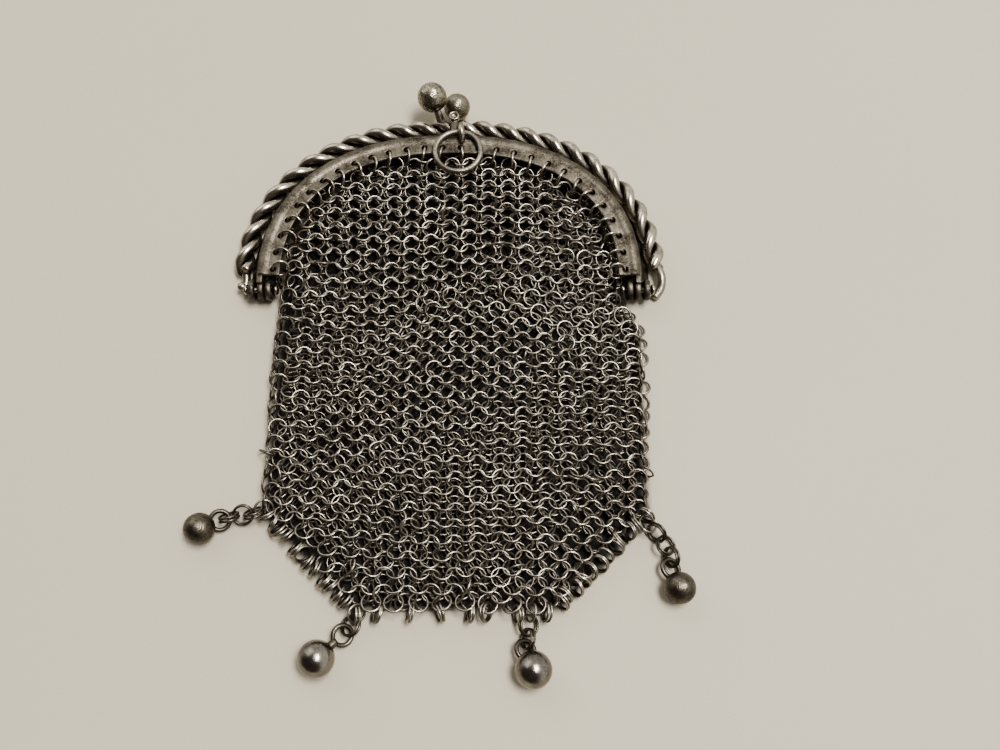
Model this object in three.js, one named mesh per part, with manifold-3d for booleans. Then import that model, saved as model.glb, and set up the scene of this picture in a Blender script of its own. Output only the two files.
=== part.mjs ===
// A small antique coin purse of metal mesh, lying on its back.
// Millimetres. X runs across the purse, Y from the bag up to the clasp, Z up from the table.
// While it is built, the hinge axis lies on Y = 0 and the table on Z = 0. The group is shifted at the end,
// so that the middle of the purse's box stands over the origin.
import * as THREE from "three";
import { mergeVertices } from "three/addons/utils/BufferGeometryUtils.js";
import Module from "manifold-3d";

const wasm = await Module();
wasm.setup();

// Arch of the frame: the line of sewing holes is a squared ellipse
const archHalfWidth = 24.8; // from the middle to the holes beside the hinges
const archRise = 20.8; // from the arch's foot up to the top hole
const archFoot = 1.3; // height of the plates' lower ends above the hinge axis
const archPower = 2.3; // 2 would be an ellipse, more is squarer
const archSteps = 28;

// Frame halves, pressed from sheet
const frameThickness = 4.6; // both halves closed
const frameSheet = 0.5;
const frameSeam = 0.3; // gap between the halves
const bandInside = 1.0; // from the hole line to the inner edge
const bandOutside = 2.4; // from the hole line to the outer edge
const ridgeOutside = 1.2; // from the hole line to the highest line of the front half
const ridgeRise = 0.15; // of that line over the inner edge
const bendOutside = 0.45; // width of the front half's rounded outer edge
const bendDrop = 0.2; // of that edge, then as deep again and more at the wall
const bendInside = 0.3; // of the same bend on the under side
const holeCount = 28;
const holeDiameter = 0.8;
const holeEndMargin = 0.9; // from the foot of the arch to the first hole
const clearance = 0.3; // between pieces that meet
const sink = 0.1; // how far one part of a solid runs into the next

// Rope trim of two twisted wires, soldered round the back half
const ropeWire = 1.45; // thickness of each, and half the width of the rope
const ropeWaist = 0.55; // half the rope's width across the groove
const ropeLead = 7.0; // length of one whole turn
const ropeGap = 1.0; // between the frame's outer edge and the rope
const ropeLift = 0.15; // of the rope's underside over the table
const ropeFootLeft = 2.6; // rope's ends, above the foot of the arch
const ropeFootRight = 2.2;
const ropeStepsPerTurn = 8;
const ropeCorners = 8;
const solderSpots = 7; // between the rope and the back half
const solderWidth = 1.4;
const solderHeight = 0.9; // where it meets the wall of the back half
const ropeTailWire = 1.2;
const rimWidth = 0.9; // of the back half's flat rim under the rope

// Hinges, alike on both sides
const knuckleDiameter = 3.0;
const knuckleBore = 1.4;
const frontKnuckle = 0.8; // width of the front half's one knuckle
const backKnuckle = 0.8; // width of each of the back half's two knuckles
const pinDiameter = 0.8;
const pinHead = 1.5;
const pinHeadLength = 0.5;
const hingeArm = 1.7; // from the hinge axis to the end of each knuckle's arm

// Ball clasp
const backBall = 4.4;
const frontBall = 4.0;
const backBallPlace = [-3.0, 5.7, 2.9]; // across, past the frame's outer edge, over the seam
const frontBallPlace = [0.6, 6.0, 0.1];
const stalkWire = 1.1;
const backStalkRoot = -1.5; // across, on the rope
const tabWidth = 1.3;
const tabAcross = 0.3;
const tabReach = 3.6; // of the front half's tab past its outer edge
const tabThickness = 0.9;
const tabDrop = 0.15; // of the tab's top under the frame's
const rivetDiameter = 1.5;
const rivetHeight = 0.35;

// Hanging ring and the bail that holds it
const ringDiameter = 7.25;
const ringWire = 0.7;
const ringAcross = 1.0; // place of the ring across the purse
const bailDiameter = 3.35;
const bailWire = 0.6;
const bailAcross = 1.45;
const bailReach = 0.1; // of the bail's middle past the frame's outer edge
const bailSlot = 1.4; // width of the hole and slot that it runs through
const bailRim = 0.55; // of the band left between the hole and the outer edge
const ringLift = 0.15; // of the ring, and of the bail's middle, over the front half
const ringInset = 0.2; // of the ring's far wire inside the frame's outer edge

// Mesh bag
const bagSheet = 1.15; // thickness of the mesh
const bagThickness = 2.9; // of the whole bag where it lies flat
const bagMouthThickness = 4.3;
const bagLift = 0.1; // of the mesh's underside over the table
const bagLeft = 24.3; // from the frame's middle to the bag's sides: it lies a little to the right
const bagRight = 27.3;
const bagShoulder = 8.0; // from the hinge axis down to the full width
const bagLength = 44.6; // from the hinge axis down to the straight bottom
const bagBottomLeft = 12.6; // from the frame's middle to the ends of the straight bottom
const bagBottomRight = 14.9;
const bagCornerLeft = 14.0; // height of the cut corners
const bagCornerRight = 12.2;
const bagSag = 0.3; // depth of the shallow dents in the front
const bagEdge = 0.9; // width of the rounded sides
const bagColumns = 6;

// Drops: a ball with a soldered eye, on pairs of small jump rings
const sideBall = 4.1;
const bottomBall = 4.7;
const eyeDiameter = 3.1;
const eyeWire = 0.5;
const jumpDiameter = 2.85;
const jumpWire = 0.32;
const jumpPairGap = 0.12;
const meshRing = 2.6; // ring of the mesh that holds each drop
const meshWire = 0.3;
const eyeNeck = 1.1;

// Numbers of sides
const wireSides = 6;
const jumpWireSides = 5;
const jumpSides = 10;
const bailSides = 16;
const ringSides = 20;
const ballSides = 12;
const ballRows = 7;
const pinSides = 10;

const silver = (roughness, color) => new THREE.MeshStandardMaterial({ color, metalness: 1, roughness });
const plateSilver = silver(0.5, 0x968f80);
const wireSilver = silver(0.35, 0xa8a294);
const meshSilver = silver(0.45, 0x8a8274);
const ballSilver = silver(0.25, 0xa39b8b);

// Heights and lines that follow from the sizes
const seam = frameThickness / 2;
const ropeLine = bandOutside + ropeGap + ropeWire;
const ropeHeight = ropeWire + ropeLift;
const archTop = archFoot + archRise;
const frameEdge = archTop + bandOutside;
const claspPoint = ([across, past, over]) => new THREE.Vector3(across, frameEdge + past, seam + over);
const backBallMiddle = claspPoint(backBallPlace);
const frontBallMiddle = claspPoint(frontBallPlace);

// Solids

function toSolid(geometry) {
  const bare = geometry.index ? geometry.toNonIndexed() : geometry.clone();
  bare.deleteAttribute("normal");
  bare.deleteAttribute("uv");
  const merged = mergeVertices(bare, 1e-4);
  return new wasm.Manifold(
    new wasm.Mesh({
      numProp: 3,
      vertProperties: new Float32Array(merged.attributes.position.array),
      triVerts: new Uint32Array(merged.index.array),
    }),
  );
}

function toGeometry(solid) {
  const mesh = solid.getMesh();
  const corners = new Float32Array(mesh.numVert * 3);
  for (let i = 0; i < mesh.numVert; i++) {
    corners.set(mesh.vertProperties.subarray(i * mesh.numProp, i * mesh.numProp + 3), i * 3);
  }
  const geometry = new THREE.BufferGeometry();
  geometry.setAttribute("position", new THREE.BufferAttribute(corners, 3));
  geometry.setIndex(new THREE.BufferAttribute(new Uint32Array(mesh.triVerts), 1));
  geometry.computeVertexNormals();
  return geometry;
}

const join = (...geometries) => toGeometry(geometries.map(toSolid).reduce((all, one) => all.add(one)));
const cut = (whole, ...tools) =>
  toGeometry(tools.map(toSolid).reduce((left, tool) => left.subtract(tool), toSolid(whole)));

// Skin over a row of loops with the same number of corners, closed by flat caps.
// The loops run anticlockwise as seen by someone whom the row walks towards.
function loft(loops, capPlan) {
  const count = loops[0].length;
  const corners = loops.flat().flatMap((p) => [p.x, p.y, p.z]);
  const faces = [];
  for (let i = 0; i + 1 < loops.length; i++) {
    for (let j = 0; j < count; j++) {
      const a = i * count + j;
      const b = i * count + ((j + 1) % count);
      faces.push(a, b, b + count, a, b + count, a + count);
    }
  }
  const last = (loops.length - 1) * count;
  for (const [a, b, c] of THREE.ShapeUtils.triangulateShape(capPlan[0], [])) faces.push(a, c, b);
  for (const [a, b, c] of THREE.ShapeUtils.triangulateShape(capPlan[1], [])) {
    faces.push(last + a, last + b, last + c);
  }
  const geometry = new THREE.BufferGeometry();
  geometry.setAttribute("position", new THREE.Float32BufferAttribute(corners, 3));
  geometry.setIndex(faces);
  return geometry.toNonIndexed();
}

function rod(from, to, diameter, sides = 8) {
  const length = from.distanceTo(to);
  const direction = to.clone().sub(from).normalize();
  const turn = new THREE.Quaternion().setFromUnitVectors(new THREE.Vector3(0, 1, 0), direction);
  return new THREE.CylinderGeometry(diameter / 2, diameter / 2, length, sides)
    .applyQuaternion(turn)
    .translate(...from.clone().lerp(to, 0.5).toArray());
}

function ball(diameter, place) {
  return new THREE.SphereGeometry(diameter / 2, ballSides, ballRows).translate(...place.toArray());
}

// Wire ring of an outer diameter round an axis through its middle
function wireRing(diameter, wire, place, axis, sides, sectionSides = wireSides) {
  const turn = new THREE.Quaternion().setFromUnitVectors(new THREE.Vector3(0, 0, 1), axis.clone().normalize());
  return new THREE.TorusGeometry((diameter - wire) / 2, wire / 2, sectionSides, sides)
    .applyQuaternion(turn)
    .translate(...place.toArray());
}

function box(left, right, front, back, bottom, top) {
  return new THREE.BoxGeometry(right - left, back - front, top - bottom).translate(
    (left + right) / 2,
    (front + back) / 2,
    (bottom + top) / 2,
  );
}

// The arch: points of the squared ellipse at equal distances along it, from the left foot to the right,
// each with the direction that points away from the bag.
const archSamples = 600;
const archTable = [];
for (let i = 0; i <= archSamples; i++) {
  const angle = Math.PI * (1 - i / archSamples);
  const across = Math.cos(angle);
  const along = Math.max(0, Math.sin(angle));
  const x = archHalfWidth * Math.sign(across) * Math.abs(across) ** (2 / archPower);
  const y = archRise * along ** (2 / archPower);
  const out = new THREE.Vector2(
    (Math.sign(x) * Math.abs(x / archHalfWidth) ** (archPower - 1)) / archHalfWidth,
    (y / archRise) ** (archPower - 1) / archRise,
  ).normalize();
  const before = archTable[i - 1];
  const length = before ? before.length + Math.hypot(x - before.x, y - before.y) : 0;
  archTable.push({ x, y, out, length });
}
const archLength = archTable[archSamples].length;

function archPoint(length, outside, height) {
  let i = archTable.findIndex((row) => row.length >= length);
  if (i < 0) i = archSamples;
  i = Math.max(i, 1);
  const [a, b] = [archTable[i - 1], archTable[i]];
  const share = Math.min(1, (length - a.length) / (b.length - a.length));
  const out = a.out.clone().lerp(b.out, share).normalize();
  return new THREE.Vector3(
    a.x + (b.x - a.x) * share + out.x * outside,
    archFoot + a.y + (b.y - a.y) * share + out.y * outside,
    height,
  );
}

// Strip of a section [outside the hole line, height] carried along the arch
function archStrip(section) {
  const loops = [];
  for (let i = 0; i <= archSteps; i++) {
    loops.push(section.map(([outside, height]) => archPoint((archLength * i) / archSteps, outside, height)));
  }
  const plan = section.map(([outside, height]) => new THREE.Vector2(outside, height));
  return loft(loops, [plan, plan]);
}

// Sewing holes
function sewingHoles(bottom, top) {
  const holes = [];
  for (let i = 0; i < holeCount; i++) {
    const length = holeEndMargin + ((archLength - 2 * holeEndMargin) * i) / (holeCount - 1);
    holes.push(rod(archPoint(length, 0, bottom), archPoint(length, 0, top), holeDiameter, 6));
  }
  return holes;
}

// Hinge places across, from the middle outwards: back knuckle, front knuckle, back knuckle
const frontKnuckleStart = archHalfWidth + bandOutside - frameSheet - frontKnuckle + clearance;
const hingeStations = [
  { half: "back", start: frontKnuckleStart - clearance - backKnuckle, width: backKnuckle },
  { half: "front", start: frontKnuckleStart, width: frontKnuckle },
  { half: "back", start: archHalfWidth + bandOutside + clearance, width: backKnuckle },
];
const hingeInside = hingeStations[0].start;
const hingeOutside = hingeStations[2].start + backKnuckle;

// Knuckle discs with an arm up to the plate
function knuckles(half, side) {
  const pieces = [];
  for (const { start, width } of hingeStations.filter((station) => station.half === half)) {
    const near = new THREE.Vector3(side * start, 0, seam);
    const far = new THREE.Vector3(side * (start + width), 0, seam);
    pieces.push(rod(near, far, knuckleDiameter, pinSides));
    const left = Math.min(near.x, far.x);
    const right = Math.max(near.x, far.x);
    const bore = knuckleBore / 2 - sink;
    const disc = knuckleDiameter / 2 - sink;
    const [low, high] =
      half === "front"
        ? [seam + bore, frameThickness - frameSheet / 2 - ridgeRise]
        : [frameSheet / 2, seam - bore];
    pieces.push(box(left, right, 0, hingeArm, Math.max(low, seam - disc), Math.min(high, seam + disc)));
    pieces.push(box(left, right, archFoot + sink, archFoot + hingeArm, low, high));
  }
  return pieces;
}

// Room round the other half's knuckles
function knuckleRooms(half, side) {
  return hingeStations
    .filter((station) => station.half !== half)
    .map(({ start, width }) =>
      rod(
        new THREE.Vector3(side * (start - clearance), 0, seam),
        new THREE.Vector3(side * (start + width + clearance), 0, seam),
        knuckleDiameter + 2 * clearance,
        pinSides,
      ),
    );
}

function pinBores() {
  return [-1, 1].map((side) =>
    rod(
      new THREE.Vector3(side * (hingeInside - 1), 0, seam),
      new THREE.Vector3(side * (hingeOutside + 1), 0, seam),
      knuckleBore,
      pinSides,
    ),
  );
}

// Front half: an arched strip with a raised ridge and a turned-down outer wall
function frameFront() {
  const top = frameThickness;
  const under = top - frameSheet;
  const wallInside = bandOutside - frameSheet;
  const wallBottom = seam + frameSeam / 2;
  const strip = archStrip([
    [-bandInside, under - ridgeRise],
    [wallInside - bendInside, under],
    [wallInside, under - bendInside],
    [wallInside, wallBottom],
    [bandOutside, wallBottom],
    [bandOutside, top - bendDrop - bendOutside],
    [bandOutside - bendOutside, top - bendDrop],
    [ridgeOutside, top],
    [-bandInside, top - ridgeRise],
  ]);
  const tabTop = frameThickness - tabDrop;
  const tabBottom = tabTop - tabThickness;
  const tab = box(
    tabAcross - tabWidth / 2,
    tabAcross + tabWidth / 2,
    frameEdge - frameSheet,
    frameEdge + tabReach,
    tabBottom,
    tabTop,
  );
  const rivet = new THREE.Vector3(tabAcross, frameEdge + tabReach - rivetDiameter / 2, tabTop);
  const rivetTop = rivet.clone().setZ(tabTop + rivetHeight);
  const stalkRoot = new THREE.Vector3(rivet.x, rivet.y, (tabTop + tabBottom) / 2);
  const rooms = [-1, 1].flatMap((side) => knuckleRooms("front", side));
  const solid = join(
    cut(strip, ...rooms),
    tab,
    rod(rivet.clone().setZ(tabBottom + 2 * sink), rivetTop, rivetDiameter, pinSides),
    rod(stalkRoot, frontBallMiddle, stalkWire),
    ball(frontBall, frontBallMiddle),
    ...knuckles("front", -1),
    ...knuckles("front", 1),
  );
  // The bail runs through a hole in the band and a slot in the wall under the outer edge
  const slotLeft = bailAcross - bailSlot / 2;
  const slotRight = bailAcross + bailSlot / 2;
  const holeNear = frameEdge - bailRim - bailSlot;
  const bailHole = box(slotLeft, slotRight, holeNear, frameEdge - bailRim, under - 1, top + 1);
  const wallSlot = box(slotLeft, slotRight, holeNear, frameEdge + sink, 0, under);
  return cut(solid, ...sewingHoles(under - 1, top + 1), ...pinBores(), bailHole, wallSlot);
}

// Rope trim: a section of two wires side by side, turned as it goes round the arch
function rope() {
  const start = ropeFootLeft;
  const end = archLength - ropeFootRight;
  const turns = (end - start) / ((ropeLead * archLength) / (archLength + Math.PI * ropeLine));
  const steps = Math.round(turns * ropeStepsPerTurn);
  const profile = (j) => {
    const angle = (2 * Math.PI * j) / ropeCorners;
    return [angle, Math.max(ropeWaist, ropeWire * Math.abs(Math.cos(angle)))];
  };
  const loops = [];
  for (let i = 0; i <= steps; i++) {
    const length = start + ((end - start) * i) / steps;
    const turn = (2 * Math.PI * turns * i) / steps;
    const loop = [];
    for (let j = 0; j < ropeCorners; j++) {
      const [angle, reach] = profile(j);
      const across = ropeLine + reach * Math.cos(angle + turn);
      loop.push(archPoint(length, across, ropeHeight + reach * Math.sin(angle + turn)));
    }
    loops.push(loop);
  }
  const plan = Array.from({ length: ropeCorners }, (_, j) => {
    const [angle, reach] = profile(j);
    return new THREE.Vector2(reach * Math.cos(angle), reach * Math.sin(angle));
  });
  return loft(loops, [plan, plan]);
}

// Blobs of solder that hold the rope to the back half's edge
function solder() {
  const spots = [];
  for (let i = 0; i < solderSpots; i++) {
    const length = (archLength * (i + 0.5)) / solderSpots;
    const inside = archPoint(length, bandOutside - frameSheet / 2, solderHeight);
    spots.push(rod(inside, archPoint(length, ropeLine, ropeHeight), solderWidth, wireSides));
  }
  return spots;
}

// Ends of the rope's wires beside the hinges: a cut stub on the left, a curl round the hinge on the right
function ropeTails() {
  const left = archPoint(ropeFootLeft, ropeLine, ropeHeight);
  const right = archPoint(archLength - ropeFootRight, ropeLine, ropeHeight);
  const stubRoot = left.clone().setY(left.y + ropeTailWire / 2);
  const stub = rod(stubRoot, new THREE.Vector3(left.x - 0.3, 0.6, seam), ropeTailWire);
  const curl = new THREE.CatmullRomCurve3([
    new THREE.Vector3(right.x, right.y + ropeTailWire / 2, right.z),
    new THREE.Vector3(right.x + 0.7, right.y - 1.4, right.z),
    new THREE.Vector3(right.x + 0.6, right.y - 3.0, right.z - 0.5),
    new THREE.Vector3(right.x - 0.2, right.y - 4.2, ropeTailWire / 2 + 0.1),
  ]);
  const section = new THREE.Shape();
  for (let j = 0; j < wireSides; j++) {
    const angle = (2 * Math.PI * j) / wireSides;
    const point = [(ropeTailWire / 2) * Math.cos(angle), (ropeTailWire / 2) * Math.sin(angle)];
    if (j) section.lineTo(...point);
    else section.moveTo(...point);
  }
  return [stub, new THREE.ExtrudeGeometry(section, { extrudePath: curl, steps: 6, bevelEnabled: false })];
}

// Back half: a flat arched strip with a turned-up wall, the rope and the second ball
function frameBack() {
  const wallTop = seam - frameSeam / 2;
  const strip = archStrip([
    [-bandInside, 0],
    [bandOutside + rimWidth, 0],
    [bandOutside + rimWidth, frameSheet],
    [bandOutside, frameSheet],
    [bandOutside, wallTop],
    [bandOutside - frameSheet, wallTop],
    [bandOutside - frameSheet, frameSheet],
    [-bandInside, frameSheet],
  ]);
  const root = new THREE.Vector3(backStalkRoot, archTop + ropeLine + 0.3, ropeHeight + 0.3);
  const rooms = [-1, 1].flatMap((side) => knuckleRooms("back", side));
  const solid = join(
    cut(strip, ...rooms),
    rope(),
    ...solder(),
    ...ropeTails(),
    rod(root, backBallMiddle, stalkWire),
    ball(backBall, backBallMiddle),
    ...knuckles("back", -1),
    ...knuckles("back", 1),
  );
  return cut(solid, ...sewingHoles(-1, frameSheet + 1), ...pinBores());
}

// Hinge pin: a wire with a riveted head at each end
function hingePin(side) {
  const headIn = hingeInside - clearance - pinHeadLength;
  const headOut = hingeOutside + clearance + pinHeadLength;
  const profile = [
    [0, headIn],
    [pinHead / 2, headIn],
    [pinHead / 2, headIn + pinHeadLength],
    [pinDiameter / 2, headIn + pinHeadLength],
    [pinDiameter / 2, headOut - pinHeadLength],
    [pinHead / 2, headOut - pinHeadLength],
    [pinHead / 2, headOut],
    [0, headOut],
  ].map(([radius, along]) => new THREE.Vector2(radius, along));
  const pin = new THREE.LatheGeometry(profile, pinSides).rotateZ((-side * Math.PI) / 2);
  return pin.translate(0, 0, seam);
}

// Bag of mesh
const smooth = (t) => {
  const share = Math.min(1, Math.max(0, t));
  return share * share * (3 - 2 * share);
};

// Distance from the frame's middle to the bag's side at a height y: inside the arch it follows the frame,
// below it widens to the full width, and the lower corners are cut off
function bagSide(y, side, grow) {
  const neck = archHalfWidth - bandInside - clearance;
  const [full, bottom, corner] =
    side < 0 ? [bagLeft, bagBottomLeft, bagCornerLeft] : [bagRight, bagBottomRight, bagCornerRight];
  if (y > archFoot) {
    const share = Math.min(1, (y - archFoot) / (archRise - bandInside - clearance));
    return neck * (1 - share ** archPower) ** (1 / archPower) + grow;
  }
  const below = bagLength + y;
  const width = neck + (full - neck) * smooth((archFoot - y) / bagShoulder);
  const cutCorner = bottom + ((full - bottom) * below) / corner;
  return Math.min(width, Math.max(bottom, cutCorner)) + grow;
}

// Height of the mesh's upper face: level with the frame at the mouth, flat below, with shallow dents
function bagTop(x, y) {
  const nearMouth = smooth((y + bagShoulder) / (bagShoulder + archFoot + archRise / 3));
  const middle = bagThickness + (bagMouthThickness - bagThickness) * nearMouth;
  const dent = Math.sin((2.2 * Math.PI * y) / bagLength + 1.1 * Math.sin((2 * Math.PI * x) / bagRight));
  return middle - bagSag * (0.5 + 0.5 * dent) * (1 - nearMouth);
}

// Closed pillow between two sides, a lower and an upper face, through rows of cross sections
function bagPillow(rows, inset, grow) {
  const loops = rows.map((y) => {
    const left = -bagSide(y, -1, grow(y));
    const right = bagSide(y, 1, grow(y));
    const low = bagLift + inset;
    const loop = [];
    const edge = Math.min(bagEdge, (right - left) / 4);
    const step = (right - left - 2 * edge) / (bagColumns - 1);
    for (let j = 0; j < bagColumns; j++) loop.push(new THREE.Vector3(left + edge + step * j, y, low));
    const highRight = bagTop(right, y) - inset;
    const highLeft = bagTop(left, y) - inset;
    loop.push(new THREE.Vector3(right, y, low + (highRight - low) * 0.3));
    loop.push(new THREE.Vector3(right, y, low + (highRight - low) * 0.7));
    for (let j = bagColumns - 1; j >= 0; j--) {
      const x = left + edge + step * j;
      loop.push(new THREE.Vector3(x, y, bagTop(x, y) - inset));
    }
    loop.push(new THREE.Vector3(left, y, low + (highLeft - low) * 0.7));
    loop.push(new THREE.Vector3(left, y, low + (highLeft - low) * 0.3));
    return loop;
  });
  const plan = (loop) => loop.map((p) => new THREE.Vector2(p.x, p.z));
  return loft(loops, [plan(loops[0]), plan(loops[loops.length - 1])]);
}

function meshBag() {
  const innerRise = archRise - bandInside - clearance;
  const topRows = [0.98, 0.93, 0.85, 0.72, 0.52, 0.28, 0.05].map((share) => archFoot + innerRise * share);
  const bodyRows = [0, -0.07, -0.14, -0.21, -0.32, -0.43, -0.54].map((share) => bagLength * share);
  const cornerRows = [bagCornerLeft, bagCornerRight, 0.5 * bagCornerRight];
  const lowRows = cornerRows.map((height) => height - bagLength);
  const outerRows = [...topRows, ...bodyRows, ...lowRows, -bagLength];
  const outer = bagPillow(outerRows, 0, () => 0);
  // The hollow runs out through the edge that is sewn to the frame, and stays inside the sides and bottom
  const mouth = 2;
  const hollowGrow = (y) => (y > 0 ? mouth : -bagSheet);
  const hollowRows = [
    archFoot + innerRise + mouth,
    ...outerRows.filter((y) => y > bagSheet - bagLength),
    2 * bagSheet - bagLength,
    1.4 * bagSheet - bagLength,
  ].sort((a, b) => b - a);
  const cornerRings = drops.map(({ chain }) => {
    const last = chain.length - 1;
    return wireRing(meshRing, meshWire, chain[last].place, chainAxis(chain, last), jumpSides, jumpWireSides);
  });
  return join(cut(outer, bagPillow(hollowRows, bagSheet, hollowGrow)), ...cornerRings);
}

// Drops. Each chain runs from its ball through the soldered eye and the pairs of jump rings to a ring of
// the mesh. A place is [x, y, z, roll], with x and y from one corner of the bag's outline: the roll is the
// angle of a ring's axis from upright, about the direction in which the chain runs there.
const dropPlans = {
  left: {
    corner: [-bagLeft, bagCornerLeft - bagLength],
    diameter: sideBall,
    ball: [-7.7, -3.3],
    chain: [
      [-5.36, -2.09, 1.17, 22],
      [-4.1, -1.7, 1.5, -62],
      [-2.4, -1.35, 1.2, 28],
      [-0.9, -1.2, 1.55, -58],
      [0.4, -0.6, 1.5, 30],
    ],
  },
  bottom_left: {
    corner: [-bagBottomLeft, -bagLength],
    diameter: bottomBall,
    ball: [-3.1, -5.6],
    chain: [
      [-0.14, -2.71, 1.28, 27],
      [0.82, -1.54, 1.2, -30],
      [1.51, -0.02, 1.3, 42],
    ],
  },
  bottom_right: {
    corner: [bagBottomRight, -bagLength],
    diameter: bottomBall,
    ball: [-3.6, -6.9],
    chain: [
      [-4.55, -4.48, 1.23, 27],
      [-4.26, -3.16, 1.41, -59],
      [-4.12, -1.51, 1.38, 33],
      [-3.8, 0.1, 1.5, -60],
    ],
  },
  right: {
    corner: [bagRight, bagCornerRight - bagLength],
    diameter: sideBall,
    ball: [2.8, -9.1],
    chain: [
      [1.91, -6.53, 1.11, 26],
      [2.02, -5.13, 1.47, -60],
      [1.42, -3.58, 1.27, 31],
      [0.31, -1.96, 1.42, -61],
      [-0.8, -0.8, 1.5, 30],
    ],
  },
};
const drops = Object.entries(dropPlans).map(([side, plan]) => {
  const [x, y] = plan.corner;
  return {
    side,
    diameter: plan.diameter,
    middle: new THREE.Vector3(x + plan.ball[0], y + plan.ball[1], plan.diameter / 2),
    chain: plan.chain.map(([dx, dy, z, roll]) => ({ place: new THREE.Vector3(x + dx, y + dy, z), roll })),
  };
});

// Axis of the ring at one place of a chain
function chainAxis(chain, index, before) {
  const from = index ? chain[index - 1].place : before;
  const to = chain[Math.min(index + 1, chain.length - 1)].place;
  const along = to.clone().sub(from).normalize();
  const up = new THREE.Vector3(0, 0, 1).addScaledVector(along, -along.z).normalize();
  return up.applyAxisAngle(along, THREE.MathUtils.degToRad(chain[index].roll));
}

function dropBall({ diameter, middle, chain }) {
  const eye = chain[0].place;
  const toBall = middle.clone().sub(eye).normalize();
  const neckEnd = eye.clone().addScaledVector(toBall, (eyeDiameter - eyeWire) / 2);
  return join(
    ball(diameter, middle),
    rod(middle, neckEnd, eyeNeck, wireSides),
    wireRing(eyeDiameter, eyeWire, eye, chainAxis(chain, 0, middle), jumpSides),
  );
}

// The purse
const purse = new THREE.Group();

function add(name, geometry, material) {
  const mesh = new THREE.Mesh(geometry, material);
  mesh.name = name;
  purse.add(mesh);
}

add("frame_front", frameFront(), plateSilver);
add("frame_back", frameBack(), plateSilver);
add("hinge_pin_left", hingePin(-1), wireSilver);
add("hinge_pin_right", hingePin(1), wireSilver);

const sideways = new THREE.Vector3(1, 0, 0);
const upright = new THREE.Vector3(0, 0, 1);
const bailPlace = new THREE.Vector3(bailAcross, frameEdge + bailReach, frameThickness + ringLift);
const ringPlace = new THREE.Vector3(
  ringAcross,
  frameEdge - ringInset - (ringDiameter - ringWire) / 2,
  frameThickness + ringWire / 2 + ringLift,
);
add("bail_ring", wireRing(bailDiameter, bailWire, bailPlace, sideways, bailSides), wireSilver);
add("hanging_ring", wireRing(ringDiameter, ringWire, ringPlace, upright, ringSides), wireSilver);
add("mesh_bag", meshBag(), meshSilver);

for (const drop of drops) {
  add(`drop_ball_${drop.side}`, dropBall(drop), ballSilver);
  for (let index = 1; index + 1 < drop.chain.length; index++) {
    const axis = chainAxis(drop.chain, index);
    for (const [which, shift] of [["a", -0.5], ["b", 0.5]]) {
      const place = drop.chain[index].place.clone().addScaledVector(axis, shift * (jumpWire + jumpPairGap));
      const ring = wireRing(jumpDiameter, jumpWire, place, axis, jumpSides, jumpWireSides);
      add(`jump_ring_${drop.side}_${index}${which}`, ring, wireSilver);
    }
  }
}

// The middle of the purse's box goes over the origin, with its lowest point on the table
const whole = new THREE.Box3().setFromObject(purse);
const middle = whole.getCenter(new THREE.Vector3());
purse.position.set(-middle.x, -middle.y, -whole.min.z);

export default purse;
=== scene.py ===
import bmesh
import bpy
import numpy as np
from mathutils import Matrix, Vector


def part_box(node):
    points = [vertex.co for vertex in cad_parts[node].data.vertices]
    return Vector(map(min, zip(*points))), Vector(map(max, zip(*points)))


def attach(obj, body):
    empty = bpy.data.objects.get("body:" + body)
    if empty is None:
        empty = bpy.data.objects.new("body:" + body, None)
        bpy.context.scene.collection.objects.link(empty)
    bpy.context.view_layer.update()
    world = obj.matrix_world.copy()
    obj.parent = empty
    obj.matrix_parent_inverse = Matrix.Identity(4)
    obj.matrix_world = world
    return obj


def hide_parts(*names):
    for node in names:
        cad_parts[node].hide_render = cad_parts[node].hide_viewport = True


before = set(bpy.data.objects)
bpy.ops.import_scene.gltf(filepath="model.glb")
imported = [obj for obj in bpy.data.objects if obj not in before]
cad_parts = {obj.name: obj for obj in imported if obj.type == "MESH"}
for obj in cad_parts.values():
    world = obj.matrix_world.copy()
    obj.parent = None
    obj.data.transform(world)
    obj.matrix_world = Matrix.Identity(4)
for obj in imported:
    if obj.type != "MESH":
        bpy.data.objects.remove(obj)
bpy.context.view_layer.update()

PINS = [(a + b) / 2 for a, b in (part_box("hinge_pin_left"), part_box("hinge_pin_right"))]
ORIGIN = np.array([(PINS[0].x + PINS[1].x) / 2, (PINS[0].y + PINS[1].y) / 2, 0.0]) * 1000

# Arch of the frame: the line of sewing holes is a squared ellipse
ARCH_HALF_WIDTH = 24.8
ARCH_RISE = 20.8
ARCH_FOOT = 1.3
ARCH_POWER = 2.3
HOLE_COUNT = 28
HOLE_DIAMETER = 0.8
HOLE_END_MARGIN = 0.9

# Frame halves
THICKNESS = 4.6
SEAM = THICKNESS / 2
SHEET = 0.5
BAND_INSIDE = 1.0
BAND_OUTSIDE = 2.4
BAND_FLAT = 0.62  # the flat band of the holes ends here, and the raised border begins
RIM_OUTSIDE = 3.85  # of the back half's rim, which ends under the rope
BACK_BAND = (0.34, 0.72)  # heights of the back half's band, which stands off the table
EDGE = ARCH_FOOT + ARCH_RISE + BAND_OUTSIDE

# Rope trim
ROPE_WIRE = 1.45
ROPE_LEAD = 7.0
ROPE_LINE = BAND_OUTSIDE + 1.0 + ROPE_WIRE
ROPE_HEIGHT = ROPE_WIRE + 0.15
ROPE_FOOT = (1.7, 2.2)
ROPE_TURN_FROM = 2.6  # length along the arch where the first wire stands outermost
ROPE_TAIL = 1.2

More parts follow.
